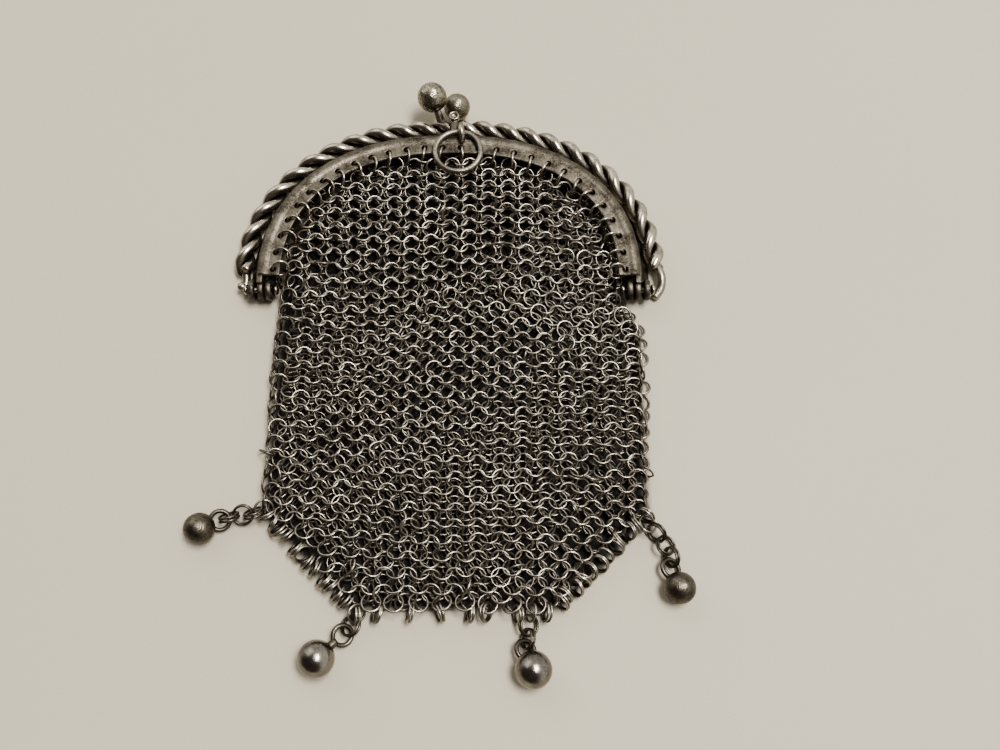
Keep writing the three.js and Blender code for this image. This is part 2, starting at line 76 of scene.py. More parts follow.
# Hinges: stations across of back, front and back knuckle
STATIONS = ((25.1, 25.9, "back"), (26.2, 27.0, "front"), (27.5, 28.3, "back"))
KNUCKLE = 3.0
BORE = 1.4
PIN = 0.8
PIN_HEAD = (0.75, 0.5, 0.15)  # radius, thickness and the rounding of its edge

# Ball clasp
BACK_BALL = (4.4, (-3.0, EDGE + 5.7, SEAM + 2.9))
FRONT_BALL = (4.0, (0.6, EDGE + 6.0, SEAM + 0.1))
STALK = 1.1
TAB_ACROSS = 0.3
TAB_WIDTH = 1.0
TAB_REACH = 3.6

# Hanging ring and bail
RING = (7.5, 0.84, (1.0, EDGE - 3.6, THICKNESS + 0.55))
BAIL = (3.4, 0.92, (1.45, EDGE + 0.1, THICKNESS + 0.15))
BAIL_DROP = 0.4  # how far it hangs below the CAD's place
BAIL_AXIS = (1, 0.12, 0)

# Bag
LINK = (2.54, 2.8)  # rings of the mesh, outer diameter at the top and at the bottom
EDGE_LINK = 2.7
SEWING_LINK = 2.6
LINK_WIRE = 0.325
LINK_GRID = (14, 4)  # sides of a mesh ring, round the ring and round its wire
LINK_TILT = np.radians(24)  # of a ring out of the bag's face, rows leaning in turn
ROWS = 62
ROW_TOP = 21.2
ROW_PITCH = (1.0, 1.12)  # at the top and at the bottom
COLUMNS = 34  # round the whole bag, so that every second row has a ring right on each fold
ARCH_PITCH = 2.75  # between the rings of a row inside the arch
RING_ROOM = 1.9  # from the bag's outline to the middle of the nearest ring of a face
FOLD_ROOM = 0.8  # the same for the rings of a fold
LOW_ROW = 0.8  # how much nearer the bottom the lowest row may hang
BACK_LAYER = 0.78  # height of the middle of the back's rings
LAYER = 1.32  # thickness of one layer of rings
INNER_WEAR_AND_LIGHT = 0.75  # brightness of the rings' inner side, against 1 on the outer side: partly rubbed wear, partly painted light on the back layer's upper side
BACK_SLIP = (0.85, 0.3)  # how far the back layer lies askew under the front one
FOLD_IN = 1.5  # from the bag's outline to the middle of the fold
FOLD_UPRIGHT = 0.55  # share of their lean that the rings right on the fold lack
FOLD_PAINTED_SHADE = 0.6  # share of its brightness that a ring right on the fold loses: painted shade on the bag's sides
BAG_LEFT, BAG_RIGHT = 24.8, 27.3
BAG_SHOULDER = 8.0
BAG_LENGTH = 44.6
BAG_BOTTOM = (12.6, 14.9)
BAG_CORNER = (12.6, 12.2)
BAG_THICK, BAG_MOUTH = 2.9, 4.3
BAG_SAG = 0.3
PAINTED_SHADE = (-0.35, 1.1)  # from the bag's outline inwards: where the painted shade on the table under the bag begins, and is full
PAINTED_SHADE_ARCH = 1.5  # how much wider the painted shade on the table is under the frame

# Pairs of rings that close the left corner, the bottom and the right corner: distance between pairs, least
# and greatest lean in degrees, and how far inside the outline their middles begin
CLOSERS = ((1.4, 16, 36, 0.85), (3.1, 8, 26, -0.3), (1.4, 16, 36, 0.85))
CLOSER_APART = 0.19  # from the middle of a pair to each ring

# Drops: ball diameter, ball place, then the ring places [x, y, z, roll] out to the mesh
DROPS = {
    "left": (4.1, (-32.0, -33.9), ((-29.66, -32.69, 1.17, 22), (-28.4, -32.3, 1.5, -62),
             (-26.7, -31.95, 1.2, 28), (-25.2, -31.8, 1.55, -58), (-23.9, -31.2, 1.5, 30))),
    "bottom_left": (4.7, (-15.7, -50.2), ((-12.74, -47.31, 1.28, 27), (-11.78, -46.14, 1.2, -30),
                    (-11.09, -44.62, 1.3, 42))),
    "bottom_right": (4.7, (11.3, -51.5), ((10.35, -49.08, 1.23, 27), (10.64, -47.76, 1.41, -59),
                     (10.78, -46.11, 1.38, 33), (11.1, -44.5, 1.5, -60))),
    "right": (4.1, (30.1, -41.5), ((29.21, -38.93, 1.11, 26), (29.32, -37.53, 1.47, -60),
              (28.72, -35.98, 1.27, 31), (27.61, -34.36, 1.42, -61), (26.5, -33.2, 1.5, 30))),
}
EYE = (3.1, 0.6)
NECK_RADIUS = 0.55
JUMP = (2.85, 0.32)
JUMP_PAIR = 0.44  # between the two rings of a pair

rng = np.random.default_rng(24)


# Vectors

def unit(v):
    """Each row of v divided by its length."""
    return v / np.linalg.norm(v, axis=-1, keepdims=True)


def smooth(t):
    """Zero below 0, one above 1, and 3t^2 - 2t^3 between them."""
    t = np.clip(t, 0, 1)
    return t * t * (3 - 2 * t)


def across_of(axis):
    """Two unit vectors at right angles to each axis and to each other."""
    axis = unit(np.asarray(axis, float))
    aside = np.where(np.abs(axis[..., :1]) < 0.9, [1.0, 0.0, 0.0], [0.0, 1.0, 0.0])
    u = unit(np.cross(axis, aside))
    return u, np.cross(axis, u)


# Arch

def arch_table(samples=2400):
    """Points and outward directions of the squared ellipse |x/a|^n + |y/b|^n = 1 above the hinge axis,
    with the length along it from the left foot."""
    angle = np.pi * (1 - np.linspace(0, 1, samples))
    across, along = np.cos(angle), np.maximum(np.sin(angle), 0)
    x = ARCH_HALF_WIDTH * np.sign(across) * np.abs(across) ** (2 / ARCH_POWER)
    y = ARCH_RISE * along ** (2 / ARCH_POWER)
    out = unit(np.stack([np.sign(x) * np.abs(x / ARCH_HALF_WIDTH) ** (ARCH_POWER - 1) / ARCH_HALF_WIDTH,
                         (y / ARCH_RISE) ** (ARCH_POWER - 1) / ARCH_RISE], 1))
    length = np.concatenate([[0], np.cumsum(np.hypot(np.diff(x), np.diff(y)))])
    return x, y + ARCH_FOOT, out, length


ARCH_X, ARCH_Y, ARCH_OUT, ARCH_AT = arch_table()
ARCH_LENGTH = ARCH_AT[-1]


def arch_out(length):
    """Unit direction out of the arch at a length along it, with its height zero."""
    flat = [np.interp(length, ARCH_AT, ARCH_OUT[:, i]) for i in (0, 1)]
    return unit(np.stack([*flat, np.zeros_like(flat[0])], -1))


def arch(length, outside, height):
    """Point of the arch at a length along it, moved outside along its normal, at a height."""
    length, outside, height = np.broadcast_arrays(length, outside, height)
    base = np.stack([np.interp(length, ARCH_AT, ARCH_X), np.interp(length, ARCH_AT, ARCH_Y), height], -1)
    return base + arch_out(length) * outside[..., None]


HOLES = HOLE_END_MARGIN + (ARCH_LENGTH - 2 * HOLE_END_MARGIN) * np.arange(HOLE_COUNT) / (HOLE_COUNT - 1)


# Surfaces

def sheet(points, close_u=False, close_v=False):
    """Corners and quads of a grid of points, joined round in either direction if asked."""
    n, m = points.shape[:2]
    i, j = np.meshgrid(np.arange(n if close_u else n - 1), np.arange(m if close_v else m - 1), indexing="ij")
    i, j = i.ravel(), j.ravel()
    i2, j2 = (i + 1) % n, (j + 1) % m
    quads = np.stack([i * m + j, i2 * m + j, i2 * m + j2, i * m + j2], 1)
    return points.reshape(-1, 3), quads


def joined(*parts):
    """Several (corners, quads) as one."""
    corners, quads, start = [], [], 0
    for c, q in parts:
        corners.append(c)
        quads.append(q + start)
        start += len(c)
    return np.concatenate(corners), np.concatenate(quads)


def put(name, part, material, replaces=(), wear_and_shading=None, weld=False):
    """Makes a mesh object from corners in millimetres and quads, smooth shaded, that rides on the purse."""
    corners, quads = part
    mesh = bpy.data.meshes.new(name)
    mesh.vertices.add(len(corners))
    mesh.vertices.foreach_set("co", ((corners + ORIGIN) * 0.001).astype(np.float32).ravel())
    mesh.loops.add(quads.size)
    mesh.loops.foreach_set("vertex_index", quads.astype(np.int32).ravel())
    mesh.polygons.add(len(quads))
    mesh.polygons.foreach_set("loop_start", np.arange(0, quads.size, 4, dtype=np.int32))
    mesh.polygons.foreach_set("use_smooth", np.ones(len(quads), bool))
    mesh.update(calc_edges=True)
    # point attribute of rubbed wear, which on the bag's rings also holds painted shade and painted light
    if wear_and_shading is not None:
        mesh.attributes.new("wear_and_shading", "FLOAT", "POINT").data.foreach_set("value", wear_and_shading.astype(np.float32))
    if weld:
        work = bmesh.new()
        work.from_mesh(mesh)
        bmesh.ops.remove_doubles(work, verts=work.verts, dist=2e-6)
        bmesh.ops.dissolve_degenerate(work, edges=work.edges, dist=1e-6)
        bmesh.ops.recalc_face_normals(work, faces=work.faces)
        work.to_mesh(mesh)
        work.free()
    mesh.validate()
    mesh.materials.append(material)
    piece = bpy.data.objects.new(name, mesh)
    bpy.context.scene.collection.objects.link(piece)
    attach(piece, "root")
    if replaces:
        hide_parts(*replaces)
    return piece


def tube(path, radius, first, sides=12):
    """Round wire along a path. first is the direction, at each point, in which its section begins: the
    section is radius * (cos a * first + sin a * side), with side across both first and the path, so that
    the faces look outwards. The ends are closed by shrinking the last sections to a point over a round
    shoulder."""
    along = unit(np.gradient(path, axis=0))
    first = unit(first - along * np.sum(first * along, 1, keepdims=True))
    side = np.cross(first, along)
    radius = np.broadcast_to(radius, len(path)).astype(float)
    cap = np.linspace(0, np.pi / 2, 5)[:-1]
    grow, back = np.sin(cap), np.cos(cap)
    place = np.concatenate([path[:1] - along[:1] * radius[0] * back[:, None] * 0.6, path,
                            path[-1:] + along[-1:] * radius[-1] * back[::-1, None] * 0.6])
    size = np.concatenate([radius[0] * grow, radius, radius[-1] * grow[::-1]])
    first = np.concatenate([np.repeat(first[:1], 4, 0), first, np.repeat(first[-1:], 4, 0)])
    side = np.concatenate([np.repeat(side[:1], 4, 0), side, np.repeat(side[-1:], 4, 0)])
    angle = 2 * np.pi * np.arange(sides) / sides
    round_ = np.cos(angle)[None, :, None] * first[:, None] + np.sin(angle)[None, :, None] * side[:, None]
    return sheet(place[:, None] + size[:, None, None] * round_, close_v=True)


def smooth_path(points, steps=12):
    """Catmull-Rom curve through the points, with that many steps between each two."""
    p = np.asarray(points, float)
    p = np.concatenate([2 * p[:1] - p[1:2], p, 2 * p[-1:] - p[-2:-1]])
    t = np.linspace(0, 1, steps, endpoint=False)[None, :, None]
    a, b, c, d = (p[i:len(p) - 3 + i, None] for i in range(4))
    curve = 0.5 * (2 * b + (c - a) * t + (2 * a - 5 * b + 4 * c - d) * t**2 + (3 * b - a - 3 * c + d) * t**3)
    return np.concatenate([curve.reshape(-1, 3), p[-2:-1]])


def rings(centre, u, v, diameter, wire, around, section):
    """Wire rings of an outer diameter: corner = centre + (R + r cos b)(cos a * u + sin a * v) + r sin b * n,
    for every ring at once. Also returns each corner's own outward direction."""
    n = np.cross(u, v)
    a = 2 * np.pi * np.arange(around) / around
    b = 2 * np.pi * np.arange(section) / section
    big, small = (np.broadcast_to(diameter, len(centre))[:, None, None] - wire) / 2, wire / 2
    spoke = np.cos(a)[None, :, None] * u[:, None] + np.sin(a)[None, :, None] * v[:, None]
    facing = (np.cos(b)[None, None, :, None] * spoke[:, :, None]
              + np.sin(b)[None, None, :, None] * n[:, None, None])
    corners = centre[:, None, None] + (big * spoke)[:, :, None] + small * facing
    one = sheet(corners[0], close_u=True, close_v=True)[1]
    quads = one[None] + (np.arange(len(centre)) * around * section)[:, None, None]
    return (corners.reshape(-1, 3), quads.reshape(-1, 4)), facing.reshape(-1, 3)


def ball(diameter, centre, axis=(0, 0, 1), around=48, rows=25):
    """Sphere with its poles on an axis: each row is a circle of radius sin(t), at cos(t) along the axis."""
    axis = unit(np.asarray(axis, float))
    u, v = across_of(axis)
    t = np.linspace(np.pi, 0, rows)[:, None, None]
    a = (2 * np.pi * np.arange(around) / around)[None, :, None]
    facing = np.sin(t) * (np.cos(a) * u + np.sin(a) * v) + np.cos(t) * axis
    return sheet(np.asarray(centre, float) + diameter / 2 * facing, close_v=True)


def turned(profile, centre, axis, around=32, close=False):
    """Profile of [radius, distance along the axis] turned round the axis."""
    axis = unit(np.asarray(axis, float))
    u, v = across_of(axis)
    r, h = np.asarray(profile, float).T
    a = 2 * np.pi * np.arange(around) / around
    circle = np.cos(a)[:, None] * u + np.sin(a)[:, None] * v
    return sheet(np.asarray(centre, float) + r[:, None, None] * circle + h[:, None, None] * axis,
                 close_u=close, close_v=True)


def block(low, high, round_=0.12, around=24, rows=13):
    """Box with rounded edges: each direction of a sphere's grid goes to the box's inner corner on its side,
    plus the rounding radius along that direction."""
    low, high = np.asarray(low, float), np.asarray(high, float)
    t = np.linspace(0, np.pi, rows)[::-1, None]
    a = 2 * np.pi * (np.arange(around)[None] + 0.5) / around
    facing = np.stack([np.sin(t) * np.cos(a), np.sin(t) * np.sin(a), np.cos(t) + 0 * a], -1)
    half = (high - low) / 2 - round_
    flat = facing.copy()
    flat[0], flat[-1] = 0, 0
    side = np.sign(np.round(flat, 6))
    side[..., 2] = np.where(np.arange(rows)[:, None] * 2 < rows - 1, -1, 1)
    return sheet((low + high) / 2 + side * half + round_ * facing, close_v=True)


# Materials

def node(tree, kind, **values):
    """A shader node with its properties and its input values set."""
    made = tree.nodes.new(kind)
    for key, value in values.items():
        if key in made.inputs:
            made.inputs[key].default_value = value
        else:
            setattr(made, key, value)
    return made


def silver(name, bright, dark, gloss, dull, patch=350.0, grain=4200.0, scratch=0.0, tarnish=0.5,
           by_wear_and_shading=False, ball_lines=False, speckle=0.3, relief=0.00004):
    """Worn silver: clean metal where it is rubbed, brown tarnish in patches, fine grain and scratches.

    patch and grain are the frequencies, per metre, of the tarnish and of the surface's grain, and speckle
    is the grain's share in the colour. relief is the height of the grain in metres. With the option for it,
    the piece's own point attribute decides what is rubbed clean; on the bag's rings that attribute also
    carries painted shade and painted light."""
    material = bpy.data.materials.new(name)
    material.use_nodes = True
    tree = material.node_tree
    shader = tree.nodes["Principled BSDF"]
    shader.inputs["Metallic"].default_value = 1.0
    link = tree.links.new
    place = node(tree, "ShaderNodeTexCoord")
    patches = node(tree, "ShaderNodeTexNoise", Scale=patch, Detail=5.0, Roughness=0.6)
    fine = node(tree, "ShaderNodeTexNoise", Scale=grain, Detail=3.0, Roughness=0.6)
    for texture in (patches, fine):
        link(place.outputs["Object"], texture.inputs["Vector"])
    share = node(tree, "ShaderNodeMapRange", **{"From Min": 0.35, "From Max": 0.68})
    link(patches.outputs["Fac"], share.inputs["Value"])
    clean = share.outputs["Result"]
    weigh = node(tree, "ShaderNodeMath", operation="MULTIPLY_ADD")
    link(clean, weigh.inputs[0])
    weigh.inputs[1].default_value = tarnish
    weigh.inputs[2].default_value = 1 - tarnish
    clean = weigh.outputs[0]
    specks = node(tree, "ShaderNodeMath", operation="MULTIPLY_ADD")
    link(fine.outputs["Fac"], specks.inputs[0])
    specks.inputs[1].default_value = 3 * speckle
    link(clean, specks.inputs[2])
    level = node(tree, "ShaderNodeMath", operation="SUBTRACT", use_clamp=True)
    link(specks.outputs[0], level.inputs[0])
    level.inputs[1].default_value = 1.5 * speckle
    clean = level.outputs[0]
    if by_wear_and_shading:
        wear_and_shading = node(tree, "ShaderNodeAttribute", attribute_name="wear_and_shading")
        both = node(tree, "ShaderNodeMath", operation="MULTIPLY")
        link(clean, both.inputs[0])
        link(wear_and_shading.outputs["Fac"], both.inputs[1])
        clean = both.outputs[0]
    colour = node(tree, "ShaderNodeMix", data_type="RGBA")
    colour.inputs[6].default_value = (*dark, 1)
    colour.inputs[7].default_value = (*bright, 1)
    link(clean, colour.inputs[0])
    link(colour.outputs[2], shader.inputs["Base Color"])
    rough = node(tree, "ShaderNodeMapRange", **{"To Min": dull, "To Max": gloss})
    link(clean, rough.inputs["Value"])
    link(rough.outputs["Result"], shader.inputs["Roughness"])
    height = fine.outputs["Fac"]
    if scratch:
        turn = node(tree, "ShaderNodeMapping", Scale=(1.0, 0.06, 1.0), Rotation=(0.0, 0.0, 0.5))
        lines = node(tree, "ShaderNodeTexNoise", Scale=5200.0, Detail=2.0)
        link(place.outputs["Object"], turn.inputs["Vector"])
        link(turn.outputs["Vector"], lines.inputs["Vector"])
        add = node(tree, "ShaderNodeMath", operation="MULTIPLY_ADD")
        link(lines.outputs["Fac"], add.inputs[0])
        add.inputs[1].default_value = scratch
        link(height, add.inputs[2])
        height = add.outputs[0]
    if ball_lines:
        bands = node(tree, "ShaderNodeTexWave", Scale=1700.0, Distortion=4.0, Detail=3.0,
                     **{"Detail Scale": 1.5})
        bands.bands_direction = "DIAGONAL"
        link(place.outputs["Object"], bands.inputs["Vector"])
        cut = node(tree, "ShaderNodeMath", operation="MULTIPLY_ADD")
        link(bands.outputs["Fac"], cut.inputs[0])
        cut.inputs[1].default_value = 0.6
        link(height, cut.inputs[2])
        height = cut.outputs[0]
    bump = node(tree, "ShaderNodeBump", Strength=0.3, Distance=relief)
    link(height, bump.inputs["Height"])
    link(bump.outputs["Normal"], shader.inputs["Normal"])
    return material


PLATE = silver("brushed plate silver", (0.15, 0.136, 0.107), (0.03, 0.024, 0.018), 0.42, 0.62, patch=520.0,
               scratch=0.8, tarnish=0.85, speckle=0.7, relief=0.00008)
ROPE = silver("rubbed rope silver", (0.50, 0.463, 0.38), (0.045, 0.037, 0.027), 0.2, 0.42, patch=620.0,
              tarnish=0.55, by_wear_and_shading=True, speckle=0.5)
LINKS = silver("linked wire silver", (0.425, 0.392, 0.323), (0.05, 0.043, 0.035), 0.27, 0.45, patch=420.0,
               tarnish=0.55, by_wear_and_shading=True)
SEWING = silver("sewing wire silver", (0.44, 0.405, 0.33), (0.08, 0.068, 0.05), 0.2, 0.42, patch=600.0,
                tarnish=0.65)
RING_SILVER = silver("worn ring silver", (0.26, 0.242, 0.195), (0.07, 0.06, 0.044), 0.3, 0.5, patch=700.0,
                     tarnish=0.6, speckle=0.8, relief=0.00012)
DROP_WIRE = silver("dark jump ring silver", (0.13, 0.116, 0.094), (0.03, 0.025, 0.02), 0.3, 0.5, patch=500.0,
                   tarnish=0.7, speckle=0.4)
POLISHED = silver("polished ball silver", (0.285, 0.266, 0.232), (0.085, 0.074, 0.064), 0.15, 0.32,
                  patch=420.0, scratch=0.5, tarnish=0.7, speckle=0.35, relief=0.00006)
HAMMERED = silver("pitted ball silver", (0.34, 0.32, 0.25), (0.06, 0.052, 0.036), 0.22, 0.42, patch=900.0,
                  grain=3200.0, tarnish=0.6, speckle=1.3, relief=0.00028)
SCRATCHED = silver("scratched ball silver", (0.135, 0.12, 0.095), (0.032, 0.027, 0.021), 0.28, 0.48,
                   patch=700.0, scratch=1.6, tarnish=0.7, speckle=0.8, relief=0.00014)
ENGRAVED = silver("engraved ball silver", (0.25, 0.235, 0.18), (0.06, 0.052, 0.036), 0.24, 0.42, patch=500.0,
                  tarnish=0.6, ball_lines=True, speckle=0.8, relief=0.00012)


# Frame halves

def pierced_half(band_top, band_under, outer):
    """A pressed half carried along the arch. Its flat band runs from the inner edge to BAND_FLAT between two
    heights, and is pierced at every hole: round a hole, corner = circle * (1 - t) + cell's border * t. outer
    is the rest of the section as [outside, height], from the band's upper edge round to its lower one."""
    per_side = 6
    turn = np.arange(per_side) / per_side
    one = np.ones(per_side)
    square = np.concatenate([np.stack([turn, 0 * one], 1), np.stack([one, turn], 1),
                             np.stack([1 - turn, one], 1), np.stack([0 * one, 1 - turn], 1)])
    middle = (HOLES[1:] + HOLES[:-1]) / 2
    left = np.concatenate([[0], middle])
    right = np.concatenate([middle, [ARCH_LENGTH]])
    border = np.stack([left[:, None] + (right - left)[:, None] * square[:, 0],
                       np.broadcast_to(-BAND_INSIDE + (BAND_FLAT + BAND_INSIDE) * square[:, 1],
                                       (HOLE_COUNT, len(square)))], -1)
    centre = np.stack([HOLES, 0 * HOLES], -1)[:, None]
    circle = centre + unit(border - centre) * HOLE_DIAMETER / 2
    t = np.array([0, 0.12, 0.4, 0.7, 1.0])[None, :, None, None]
    spread = circle[:, None] * (1 - t) + border[:, None] * t
    dish = 0.06 * (t[..., 0] == 0)

    def face(height, sign):
        return arch(spread[..., 0], spread[..., 1], height + sign * dish * np.ones(spread.shape[:3]))

    top, under = face(band_top, -1), face(band_under, 1)
    parts = [sheet(cell, close_v=True) for cell in top] + [sheet(cell[::-1], close_v=True) for cell in under]
    parts += [sheet(np.stack([a[0], b[0]])[::-1], close_v=True) for a, b in zip(top, under)]
    stations = np.concatenate([(left[:, None] + (right - left)[:, None] * turn).ravel(), [ARCH_LENGTH]])
    outer = np.asarray(outer, float)
    strip = arch(stations[:, None], outer[None, :, 0], outer[None, :, 1])
    edge = arch(stations[:, None], -BAND_INSIDE, np.array([band_under, band_top])[None])
    parts += [sheet(strip), sheet(edge)]
    for station in (0.0, ARCH_LENGTH):
        rows = np.linspace(-BAND_INSIDE, BAND_FLAT, per_side + 1)
        upper = arch(station, rows, band_top)
        lower = arch(station, rows, band_under)
        parts.append(sheet(np.stack([upper, lower])))
        ends = arch(station, outer[:, 0], outer[:, 1])
        half = len(ends) // 2
        parts.append(sheet(np.stack([ends[:half], ends[::-1][:half]])))
    return joined(*parts)


def front_half():
    """Front half: a flat band with the holes, a raised rounded border and a turned-down wall."""
    top, under = THICKNESS - 0.15, THICKNESS - 0.15 - SHEET
    outer = [[BAND_FLAT, top], [0.78, top + 0.04], [0.98, top + 0.11], [1.2, top + 0.15],
             [1.45, top + 0.14], [1.7, top + 0.08], [1.95, top - 0.05], [2.18, top - 0.25],
             [2.33, top - 0.5], [BAND_OUTSIDE, top - 0.8], [BAND_OUTSIDE, SEAM + 0.18],
             [BAND_OUTSIDE - 0.05, SEAM + 0.15], [1.95, SEAM + 0.15], [1.9, SEAM + 0.18],
             [1.9, under - 0.42], [1.8, under - 0.2], [1.6, under - 0.06], [1.4, under], [1.1, under],
             [BAND_FLAT, under]]
    return pierced_half(top, under, outer)


def back_half():
    """Back half: a band that stands off the table, a flat face on it, a turned-up wall and the rope's rim."""
    low, high = BACK_BAND
    outer = [[BAND_FLAT, high], [0.8, high - 0.08], [0.95, SHEET], [1.88, SHEET], [1.9, SHEET + 0.05],
             [1.9, SEAM - 0.18], [1.95, SEAM - 0.15], [BAND_OUTSIDE - 0.05, SEAM - 0.15],
             [BAND_OUTSIDE, SEAM - 0.2], [BAND_OUTSIDE, SHEET], [RIM_OUTSIDE - 0.05, SHEET],
             [RIM_OUTSIDE, SHEET - 0.05], [RIM_OUTSIDE, 0.05], [RIM_OUTSIDE - 0.05, 0.0], [0.98, 0.0],
             [0.85, 0.06], [0.72, low - 0.06], [BAND_FLAT, low]]
    return pierced_half(high, low, outer)


def knuckles(half):
    """Rolled hinge ears: a short thick tube at each station, with an arm up to the plate."""
    parts = []
    outside, inside, soft = KNUCKLE / 2, BORE / 2, 0.12
    for side in (-1, 1):
        for near, far, which in STATIONS:
            if which != half:
                continue
            width = far - near
            profile = [[inside, 0], [outside - soft, 0], [outside, soft], [outside, width - soft],
                       [outside - soft, width], [inside, width]]
            parts.append(turned(profile, (side * near, 0, SEAM), (side, 0, 0), close=True))
            left, right = sorted((side * near, side * far))
            if half == "front":
                parts.append(block((left, 0.2, SEAM + 0.85), (right, 2.0, THICKNESS - 0.3)))
            else:
                parts.append(block((left, 0.2, 0.25), (right, 2.0, SEAM - 0.85)))
    return parts


def rope():
    """Two round wires twisted together: each wire's middle turns about the rope's line, half a wire
    away from it, one whole turn in each lead; the second is half a turn behind the first."""
    start, end = ROPE_FOOT[0], ARCH_LENGTH - ROPE_FOOT[1]
    lead = ROPE_LEAD * ARCH_LENGTH / (ARCH_LENGTH + np.pi * ROPE_LINE)
    at = np.linspace(start, end, 520)
    turn = 2 * np.pi * (at - ROPE_TURN_FROM) / lead
    parts, wear_and_shading = [], []
    for phase in (0, np.pi):
        half = ROPE_WIRE / 2
        out = arch_out(at)
        spoke = np.cos(turn + phase)[:, None] * out + np.sin(turn + phase)[:, None] * [0, 0, 1]
        path = arch(at, ROPE_LINE, ROPE_HEIGHT) + half * spoke
        wire = tube(path, half * 1.04, spoke, sides=16)
        middle = np.repeat(np.concatenate([arch(at[:1], ROPE_LINE, ROPE_HEIGHT)[[0] * 4],
                                           arch(at, ROPE_LINE, ROPE_HEIGHT),
                                           arch(at[-1:], ROPE_LINE, ROPE_HEIGHT)[[0] * 4]]), 16, 0)
        reach = np.linalg.norm(wire[0] - middle, axis=1)
        parts.append(wire)
        wear_and_shading.append(smooth((reach - 0.75) / 0.55))
    return parts, wear_and_shading


def rope_tails():
    """Ends of the rope's wires: a cut stub beside the left hinge, and a curl round the right one."""
    left = arch(ROPE_FOOT[0], ROPE_LINE, ROPE_HEIGHT)
    right = arch(ARCH_LENGTH - ROPE_FOOT[1], ROPE_LINE, ROPE_HEIGHT)
    stub = smooth_path([left + [0.2, 0.2, -0.2], left + [0.3, -1.2, -0.7], [left[0] + 0.1, 0.9, 0.8],
                        [left[0] - 0.1, 0.75, 1.9]])
    curl = smooth_path([right + [0, 0.6, 0], right + [0.7, -1.4, 0], right + [0.6, -3.0, -0.5],
                        [right[0] - 0.2, right[1] - 4.2, ROPE_TAIL / 2 + 0.1]])
    return [tube(p, ROPE_TAIL / 2, np.tile([0.0, 0.0, 1.0], (len(p), 1)), 14) for p in (stub, curl)]


def back_clasp():
    """Ball on a stalk that leans over from the rope."""
    root = np.array([-1.5, ARCH_FOOT + ARCH_RISE + ROPE_LINE + 0.3, ROPE_HEIGHT + 0.3])
    middle = np.array(BACK_BALL[1])
    path = np.linspace(root, middle, 10)
    stalk = tube(path, STALK / 2 * np.linspace(1.15, 0.95, 10), np.tile([1.0, 0.0, 0.0], (10, 1)), 16)
    return [stalk], [ball(BACK_BALL[0], middle, middle - root)]


def front_clasp():
    """Tab from the front half with a riveted tube end, and the second ball on its stalk."""
    top = THICKNESS - 0.15
    low = top - 0.9
    tip = EDGE + TAB_REACH
    tab = block((TAB_ACROSS - TAB_WIDTH / 2, EDGE - SHEET, low), (TAB_ACROSS + TAB_WIDTH / 2, tip, top), 0.2)
    rivet = (TAB_ACROSS, tip - 0.75, 0)
    rim = [[0, low], [0.7, low], [0.75, low + 0.1], [0.75, top + 0.27], [0.68, top + 0.35],
           [0.56, top + 0.35], [0.48, top + 0.26], [0.48, top + 0.12], [0, top + 0.12]]
    root = np.array([rivet[0], rivet[1], (top + low) / 2])
    middle = np.array(FRONT_BALL[1])
    stalk = tube(np.linspace(root, middle, 8), STALK / 2, np.tile([1.0, 0.0, 0.0], (8, 1)), 16)
    return [tab, stalk], [turned(rim, rivet, (0, 0, 1))], [ball(FRONT_BALL[0], middle, (0.3, 0.2, 1))]


# Bag

def bag_side(y, side):
    """Distance from the frame's middle to the bag's outline at a height: under the arch it follows the
    squared ellipse, below the hinges it widens to the full width, and the corners are cut straight."""
    neck = ARCH_HALF_WIDTH - BAND_INSIDE - 0.3
    full, bottom, corner = ((BAG_LEFT, BAG_RIGHT)[side > 0], BAG_BOTTOM[side > 0], BAG_CORNER[side > 0])
    share = np.clip((y - ARCH_FOOT) / (ARCH_RISE - BAND_INSIDE - 0.3), 0, 1)
    arched = neck * (1 - share**ARCH_POWER) ** (1 / ARCH_POWER)
    width = neck + (full - neck) * smooth((ARCH_FOOT - y) / BAG_SHOULDER)
    cut = bottom + (full - bottom) * (BAG_LENGTH + y) / corner
    return np.where(y > ARCH_FOOT, arched, np.minimum(width, np.maximum(bottom, cut)))


def bag_top(x, y):
    """Height of the bag's upper face: level with the frame at the mouth, lower with shallow dents below."""
    near = smooth((y + BAG_SHOULDER) / (BAG_SHOULDER + ARCH_FOOT + ARCH_RISE / 3))
    dent = np.sin(2.2 * np.pi * y / BAG_LENGTH + 1.1 * np.sin(2 * np.pi * x / BAG_RIGHT))
    return BAG_THICK + (BAG_MOUTH - BAG_THICK) * near - BAG_SAG * (0.5 + 0.5 * dent) * (1 - near)


def row_lie(x, y):
    """How far the lie of the bag moves a ring up or down: rows bow and slant a little."""
    return (0.35 * np.sin(0.11 * x + 0.07 * y) + 0.25 * np.sin(0.23 * x - 0.13 * y + 1.0)
            - 0.9 * smooth((x - 6) / 16) * smooth((12 - y) / 12) * smooth((y + 34) / 14))


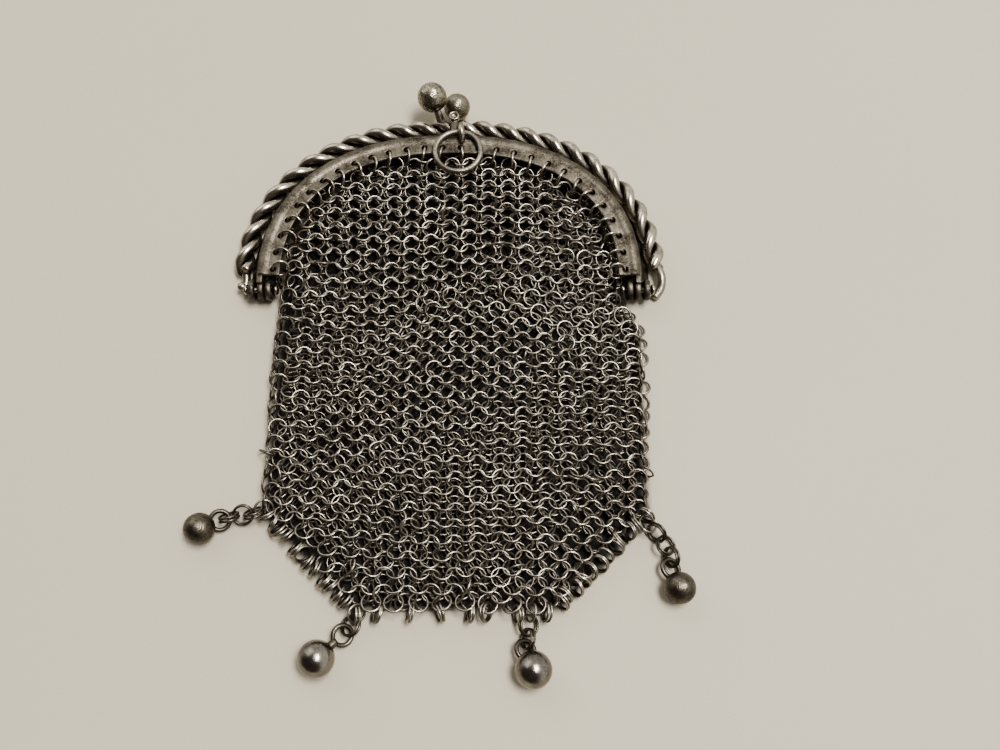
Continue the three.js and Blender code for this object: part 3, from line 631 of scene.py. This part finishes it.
def weave():
    """Middles, directions and face normals of all rings of the bag. A row's rings stand side by side and
    lean out of the bag's face by LINK_TILT, and the rows lean up and down in turn, half a ring aside,
    so that every ring runs through four others. Below the hinges a row goes round the whole bag, over
    a round fold at both sides; inside the arch, front and back rows end at the frame."""
    k = np.arange(ROWS)
    y = ROW_TOP - k * ROW_PITCH[0] - (ROW_PITCH[1] - ROW_PITCH[0]) * k * k / (2 * ROWS)
    lean = np.where(k % 2 == 0, 1.0, -1.0)
    shift = (k % 2) / 2

    # Rows round the bag
    low = y < ARCH_FOOT - 1.0
    yy = y[low][:, None]
    left, right = bag_side(yy, -1) - FOLD_IN, bag_side(yy, 1) - FOLD_IN
    wide_left = np.where(yy < BAG_CORNER[0] - BAG_LENGTH, BAG_LEFT - FOLD_IN, left)
    wide_right = np.where(yy < BAG_CORNER[1] - BAG_LENGTH, BAG_RIGHT - FOLD_IN, right)
    centre, flat = (wide_right - wide_left) / 2, wide_right + wide_left
    upper = bag_top(centre, yy) - LAYER / 2
    bend = (upper - BACK_LAYER) / 2
    total = 2 * flat + 2 * np.pi * bend
    s = (np.arange(COLUMNS)[None] + shift[low][:, None]) / COLUMNS * total
    s = (s + total / 2) % total - total / 2
    side, s = np.sign(s), np.abs(s)
    angle = np.clip((s - flat / 2) / bend, 0, np.pi)
    past = np.maximum(s - flat / 2 - np.pi * bend, 0)
    x = centre + side * (np.minimum(s, flat / 2) + bend * np.sin(angle) - past)
    z = BACK_LAYER + bend + bend * np.cos(angle)
    face = np.stack([side * np.sin(angle), 0 * x, np.cos(angle)], -1)
    y_all = np.broadcast_to(yy, x.shape)
    tilt = lean[low][:, None] * (1 - FOLD_UPRIGHT * np.sin(angle))
    keep = bag_corner_room(x, y_all, LOW_ROW) > RING_ROOM
    keep |= (np.sin(angle) > 0.1) & (bag_corner_room(x, y_all) > FOLD_ROOM)
    tube_rows = (x[keep], y_all[keep], z[keep], face[keep], tilt[keep])

    # Rows inside the arch
    yy = y[~low][:, None]
    x = (np.arange(-10, 11)[None] + shift[~low][:, None]) * ARCH_PITCH
    y_all = np.broadcast_to(yy, x.shape)
    keep = np.abs(x) < bag_side(yy, 1) - 0.9
    tilt = np.broadcast_to(lean[~low][:, None], x.shape)
    sets = [tube_rows]
    for outward, height in ((1.0, bag_top(x, y_all) - LAYER / 2), (-1.0, np.full(x.shape, BACK_LAYER))):
        face = np.zeros((*x.shape, 3))
        face[..., 2] = outward
        sets.append((x[keep], y_all[keep], height[keep], face[keep], tilt[keep]))
    x, y, z, face, tilt = (np.concatenate(column) for column in zip(*sets))
    under = smooth(-face[:, 2])
    y = y + row_lie(x, y) + under * BACK_SLIP[1] * (1 + 0.5 * np.sin(0.17 * x + 0.1 * y))
    x = x + under * BACK_SLIP[0] * (1 + 0.6 * np.sin(0.15 * y - 0.12 * x))
    centre = np.stack([x, y, z], 1)
    up = np.tile([0.0, 1.0, 0.0], (len(x), 1))
    aside = np.cross(up, face)
    v = np.cos(LINK_TILT) * up + (np.sin(LINK_TILT) * tilt)[:, None] * face
    return centre, aside, v, face


def bag_corner_room(x, y, below=0.0):
    """Distance of a point inside the cut corners and the straight bottom, which lies lower by below,
    positive inside."""
    room = y + BAG_LENGTH + below
    for side in (-1, 1):
        full, bottom, corner = ((BAG_LEFT, BAG_RIGHT)[side > 0], BAG_BOTTOM[side > 0], BAG_CORNER[side > 0])
        run = np.hypot(full - bottom, corner)
        away = ((bottom - side * x) * corner + (y + BAG_LENGTH) * (full - bottom)) / run
        room = np.minimum(room, away)
    return room


def link_size(y):
    """Outer diameter of the mesh rings at a height: they grow evenly from the top row to the bottom row."""
    return np.interp(y, [-BAG_LENGTH, ROW_TOP], [LINK[1], LINK[0]])


def loosened(centre, u, v, size, place=0.085, turn=0.12, odd=0.05):
    """Small seeded disorder: each ring is moved and turned a little, and a few lie quite askew."""
    count = len(centre)
    centre = centre + rng.normal(0, place, (count, 3)) * [1, 1, 0.5]
    more = turn * (1 + 3.5 * (rng.random((count, 1)) < odd))
    u = unit(u + more * rng.normal(0, 1, (count, 3)))
    v = v + more * rng.normal(0, 1, (count, 3))
    v = unit(v - u * np.sum(u * v, 1, keepdims=True))
    reach = (size - LINK_WIRE) / 2 * np.hypot(u[:, 2], v[:, 2]) + LINK_WIRE / 2 + 0.02
    centre[:, 2] = np.maximum(centre[:, 2], reach)
    return centre, u, v, size


def closers():
    """Pairs of rings that join front and back along the cut corners and the bottom: each pair hangs over
    the edge, its plane across it, leaning aside."""
    corners = np.array([[-BAG_LEFT, BAG_CORNER[0] - BAG_LENGTH], [-BAG_BOTTOM[0], -BAG_LENGTH],
                        [BAG_BOTTOM[1], -BAG_LENGTH], [BAG_RIGHT, BAG_CORNER[1] - BAG_LENGTH]])
    centre, u, v = [], [], []
    for a, b, (step, least, most, inside) in zip(corners[:-1], corners[1:], CLOSERS):
        along = np.append(unit(b - a), 0)
        out = np.array([along[1], -along[0], 0])
        count = int(np.linalg.norm(b - a) / step)
        at = (np.arange(count) + 0.5 + rng.normal(0, 0.12, count)) / count
        lean = np.radians(rng.uniform(least, most, count)) * np.where(rng.random(count) < 0.9, 1, -1)
        stand = np.cos(lean)[:, None] * [0, 0, 1] + np.sin(lean)[:, None] * along
        yaw = rng.normal(0, 0.22, count)[:, None]
        aim = unit(out + yaw * along)
        stand = unit(stand - aim * np.sum(stand * aim, 1, keepdims=True))
        height = 0.2 + EDGE_LINK / 2 * np.abs(stand[:, 2])
        place = np.append(a, 0) + at[:, None] * np.append(b - a, 0)
        place -= out * (inside + rng.uniform(0, 0.45, count))[:, None]
        place[:, 2] = height
        pair = np.cross(aim, stand) * CLOSER_APART
        centre += [place + pair, place - pair]
        u += [aim, aim]
        v += [stand, stand]
    return np.concatenate(centre), np.concatenate(u), np.concatenate(v)


def sewing():
    """One ring through each hole of each half, across the inner edge of its band, down to the mesh. On the
    front the rings of the left shoulder lean over more than those of the right."""
    inward = -arch_out(HOLES)
    along = np.cross([0.0, 0.0, 1.0], inward)
    share = HOLES / ARCH_LENGTH
    lean = np.radians(np.interp(share, [0, 0.35, 0.5, 0.9, 0.97, 1], [-36, -32, -10, 16, 22, 48]))[:, None]
    lean = lean + rng.normal(0, 0.08, lean.shape)
    swing = rng.normal(0, 0.12, lean.shape)
    aim = unit(inward + swing * along)
    stand = unit(np.cos(lean) * [0, 0, 1] - np.sin(lean) * along)
    stand = unit(stand - aim * np.sum(stand * aim, 1, keepdims=True))
    middle = arch(HOLES, 0.0, THICKNESS - 0.4) + aim * (SEWING_LINK - LINK_WIRE) / 2
    front = (middle, aim, stand)
    flat = np.radians(76)
    stand = unit(np.cos(flat) * np.array([0, 0, 1]) - np.sin(flat) * along)
    stand = unit(stand - inward * np.sum(stand * inward, 1, keepdims=True))
    middle = arch(HOLES, 0.0, sum(BACK_BAND) / 2) + inward * (SEWING_LINK - LINK_WIRE) / 2
    return front, (middle, inward, stand)


def chain_axis(chain, i, before):
    """Axis of ring i of a drop's chain: upright, turned by its roll about the way the chain runs there."""
    start = np.array(chain[i - 1][:3]) if i else before
    end = np.array(chain[min(i + 1, len(chain) - 1)][:3])
    along = unit(end - start)
    up = unit(np.array([0, 0, 1.0]) - along * along[2])
    roll = np.radians(chain[i][3])
    return up * np.cos(roll) + np.cross(along, up) * np.sin(roll)


def single(centre, axis, diameter, wire, around=48, section=14):
    """One wire ring round an axis."""
    u, v = across_of(np.asarray(axis, float)[None])
    return rings(np.asarray(centre, float)[None], u, v, diameter, wire, around, section)[0]


# Pieces of the frame
put("front_half", joined(front_half(), *knuckles("front")), PLATE, ["frame_front"], weld=True)
tab, rivet, front_ball = front_clasp()
put("front_clasp_tab", joined(*tab), DROP_WIRE, weld=True)
put("front_clasp_rivet", joined(*rivet), SEWING, weld=True)
put("front_clasp_ball", joined(*front_ball), ENGRAVED, weld=True)
put("back_half", joined(back_half(), *knuckles("back")), PLATE, ["frame_back"], weld=True)
wires, worn = rope()
put("rope_trim", joined(*wires), ROPE, wear_and_shading=np.concatenate(worn), weld=True)
tails = joined(*rope_tails())
put("rope_tails", tails, ROPE, wear_and_shading=np.full(len(tails[0]), 0.7), weld=True)
stalk, back_ball = back_clasp()
put("back_clasp_stalk", joined(*stalk), SEWING, weld=True)
put("back_clasp_ball", joined(*back_ball), HAMMERED, weld=True)

for side, name in ((-1, "left"), (1, "right")):
    inner, outer = STATIONS[0][0] - 0.3, STATIONS[2][1] + 0.3
    radius, thick, soft = PIN_HEAD
    profile = [[0, inner - thick], [radius - soft, inner - thick], [radius, inner - thick + soft],
               [radius, inner], [PIN / 2, inner], [PIN / 2, outer], [radius, outer],
               [radius, outer + thick - soft], [radius - soft, outer + thick], [0, outer + thick]]
    put("pin_" + name, turned(profile, (0, 0, SEAM), (side, 0, 0), 20), SEWING,
        ["hinge_pin_" + name], weld=True)

put("bail", single(np.array(BAIL[2]) - [0, BAIL_DROP, 0], BAIL_AXIS, *BAIL[:2]),
    SEWING, ["bail_ring"])
put("ring", single(RING[2], (0, 0, 1), *RING[:2], 80, 16), RING_SILVER, ["hanging_ring"])

# Drops
for side, (diameter, (bx, by), chain) in DROPS.items():
    middle = np.array([bx, by, diameter / 2])
    eye = np.array(chain[0][:3])
    axis = chain_axis(chain, 0, middle)
    neck = np.linspace(middle, eye + unit(middle - eye) * (EYE[0] - EYE[1]) / 2, 8)
    finish = POLISHED if "bottom" in side else SCRATCHED
    stem = tube(neck, NECK_RADIUS, np.tile(axis, (8, 1)), 16)
    put("drop_eye_" + side, joined(single(eye, axis, *EYE), stem), DROP_WIRE, weld=True)
    put("drop_" + side, ball(diameter, middle, eye - middle), finish, ["drop_ball_" + side],
        weld=True)
    for i in range(1, len(chain) - 1):
        axis = chain_axis(chain, i, middle)
        for which, shift in (("a", -0.5), ("b", 0.5)):
            place = np.array(chain[i][:3]) + axis * shift * JUMP_PAIR
            put(f"jump_{side}_{i}{which}", single(place, axis, *JUMP, 28, 8), DROP_WIRE,
                [f"jump_ring_{side}_{i}{which}"])

# Rings of the bag
centre, u, v, face = weave()
centre, u, v, size = loosened(centre, u, v, link_size(centre[:, 1]))
in_front = face[:, 2] > 0.1
ring_corners = LINK_GRID[0] * LINK_GRID[1]
for name, chosen, stands_for in (("bag_front", in_front, ["mesh_bag"]), ("bag_back", ~in_front, [])):
    part, facing = rings(centre[chosen], u[chosen], v[chosen], size[chosen], LINK_WIRE, *LINK_GRID)
    outward = np.repeat(face[chosen], ring_corners, 0)
    depth = np.sum((part[0] - np.repeat(centre[chosen], ring_corners, 0)) * outward, 1)
    turned_out = np.sum(facing * outward, 1)
    rise = 0.9 * depth + 0.3 * turned_out
    # rubbed crests are bright; the inner side's level is partly wear and partly painted light
    worn = np.maximum(smooth(0.42 + rise), INNER_WEAR_AND_LIGHT * smooth(0.4 - rise))
    # painted shade: rings on the folds, which face sideways, are made darker
    worn *= 1 - FOLD_PAINTED_SHADE + FOLD_PAINTED_SHADE * np.abs(outward[:, 2])
    put(name, part, LINKS, stands_for, wear_and_shading=worn)

corner_rings = []
for side, (diameter, place, chain) in DROPS.items():
    axis = chain_axis(chain, len(chain) - 1, None)
    corner_rings.append(single(chain[-1][:3], axis, EDGE_LINK, LINK_WIRE, 20, 6))
edge_rings, facing = rings(*loosened(*closers(), EDGE_LINK, place=0.03, turn=0.05, odd=0), LINK_WIRE, 18, 6)
edge_rings = joined(edge_rings, *corner_rings)
# the closing rings are darker the nearer they lie to the table: rubbed wear on their tops and painted shade
# near the table
put("bag_edge", edge_rings, LINKS, wear_and_shading=smooth(edge_rings[0][:, 2] / 2.4))
front_sewing, back_sewing = sewing()
for name, (place, aim, stand) in (("sewing_front", front_sewing), ("sewing_back", back_sewing)):
    part, facing = rings(place, aim, stand, SEWING_LINK, LINK_WIRE * 1.15, 24, 8)
    put(name, part, SEWING)


# Floor, light and camera

def floor():
    """A pale table top with a faint mottle, and a painted shade under the bag: the table's colour is
    nearly black inside the bag's outline, with a narrow soft edge whose start and end are set at the top.
    Above the arch there is none."""
    near_x, near_y = np.arange(-30.0, 30.5, 0.5), np.arange(-48.0, 25.5, 0.5)
    x, y = np.meshgrid(np.concatenate([[-1200], near_x, [1200]]), np.concatenate([[-1200], near_y, [1200]]),
                       indexing="ij")
    # mask of the painted shade: how far each point of the table lies inside the bag's outline, more under the
    # frame
    room = np.minimum(np.where(x < 0, bag_side(y, -1), bag_side(y, 1)) - np.abs(x), bag_corner_room(x, y))
    room = np.where(y < ARCH_FOOT + ARCH_RISE, room + PAINTED_SHADE_ARCH * smooth((y + 4) / 4), -9.0)
    mesh = bpy.data.meshes.new("table")
    corners, quads = sheet((np.stack([x, y, np.full(x.shape, -0.02)], -1) + ORIGIN) * 0.001)
    mesh.from_pydata(corners.tolist(), [], quads.tolist())
    mesh.attributes.new("painted_shade_mask", "FLOAT", "POINT").data.foreach_set(
        "value", smooth((room.ravel() - PAINTED_SHADE[0]) / (PAINTED_SHADE[1] - PAINTED_SHADE[0])).astype(np.float32))
    material = bpy.data.materials.new("pale table")
    material.use_nodes = True
    tree = material.node_tree
    shader = tree.nodes["Principled BSDF"]
    shader.inputs["Roughness"].default_value = 0.6
    shader.inputs["Specular IOR Level"].default_value = 0.12
    place = node(tree, "ShaderNodeTexCoord")
    cloud = node(tree, "ShaderNodeTexNoise", Scale=14.0, Detail=4.0)
    tint = node(tree, "ShaderNodeMix", data_type="RGBA")
    tint.inputs[6].default_value = (0.395, 0.362, 0.288, 1)
    tint.inputs[7].default_value = (0.415, 0.381, 0.305, 1)
    # painted shade under the bag: the table's colour is mixed towards near black by this mask
    painted_shade_mask = node(tree, "ShaderNodeAttribute", attribute_name="painted_shade_mask")
    under = node(tree, "ShaderNodeMix", data_type="RGBA")
    under.inputs[7].default_value = (0.008, 0.007, 0.006, 1)
    tree.links.new(place.outputs["Object"], cloud.inputs["Vector"])
    tree.links.new(cloud.outputs["Fac"], tint.inputs[0])
    tree.links.new(painted_shade_mask.outputs["Fac"], under.inputs[0])
    tree.links.new(tint.outputs[2], under.inputs[6])
    tree.links.new(under.outputs[2], shader.inputs["Base Color"])
    mesh.materials.append(material)
    table = bpy.data.objects.new("table", mesh)
    bpy.context.scene.collection.objects.link(table)


def aimed(name, data, place, target):
    """A camera or light at a place, turned to look at a target."""
    from mathutils import Vector
    thing = bpy.data.objects.new(name, data)
    thing.location = place
    thing.rotation_euler = (Vector(target) - Vector(place)).to_track_quat("-Z", "Y").to_euler()
    bpy.context.scene.collection.objects.link(thing)
    return thing


def softbox(name, place, size, power, tint=(1, 0.98, 0.95)):
    """A rectangular lamp that looks at the purse."""
    data = bpy.data.lights.new(name, "AREA")
    data.shape = "RECTANGLE"
    data.size, data.size_y = size
    data.energy = power
    data.color = tint
    return aimed(name, data, place, (0, -0.005, 0))


def room():
    """Surroundings: a pale room that is darker on the viewer's side, where someone leans over the table."""
    world = bpy.data.worlds.new("room")
    world.use_nodes = True
    bpy.context.scene.world = world
    tree = world.node_tree
    background = tree.nodes["Background"]
    place = node(tree, "ShaderNodeTexCoord")
    toward = node(tree, "ShaderNodeVectorMath", operation="DOT_PRODUCT")
    toward.inputs[1].default_value = (-0.48, -0.62, 0.62)
    tree.links.new(place.outputs["Generated"], toward.inputs[0])
    dark = node(tree, "ShaderNodeMapRange", interpolation_type="SMOOTHSTEP",
                **{"From Min": 0.08, "From Max": 0.74, "To Min": 0.0, "To Max": 1.0})
    tree.links.new(toward.outputs["Value"], dark.inputs["Value"])
    mix = node(tree, "ShaderNodeMix", data_type="RGBA")
    mix.inputs[6].default_value = (1.0, 0.975, 0.925, 1)
    mix.inputs[7].default_value = (0.10, 0.085, 0.082, 1)
    tree.links.new(dark.outputs["Result"], mix.inputs[0])
    tree.links.new(mix.outputs[2], background.inputs["Color"])
    background.inputs["Strength"].default_value = 1.1


floor()
room()
softbox("ceiling_lamp", (0.235, 0.04, 0.77), (0.4, 0.22), 10.5)
softbox("window_side", (-0.5, 0.5, 0.6), (0.7, 0.6), 2.2)
bpy.context.scene.view_settings.look = "AgX - Medium High Contrast"

lens = bpy.data.cameras.new("photo_camera")
lens.lens = 34.2
lens.sensor_width = 36.0
lens.clip_start = 0.005
bpy.context.scene.camera = aimed("photo_camera", lens, (0.0081, -0.04568, 0.12525), (0.0081, -0.001325, 0.0))
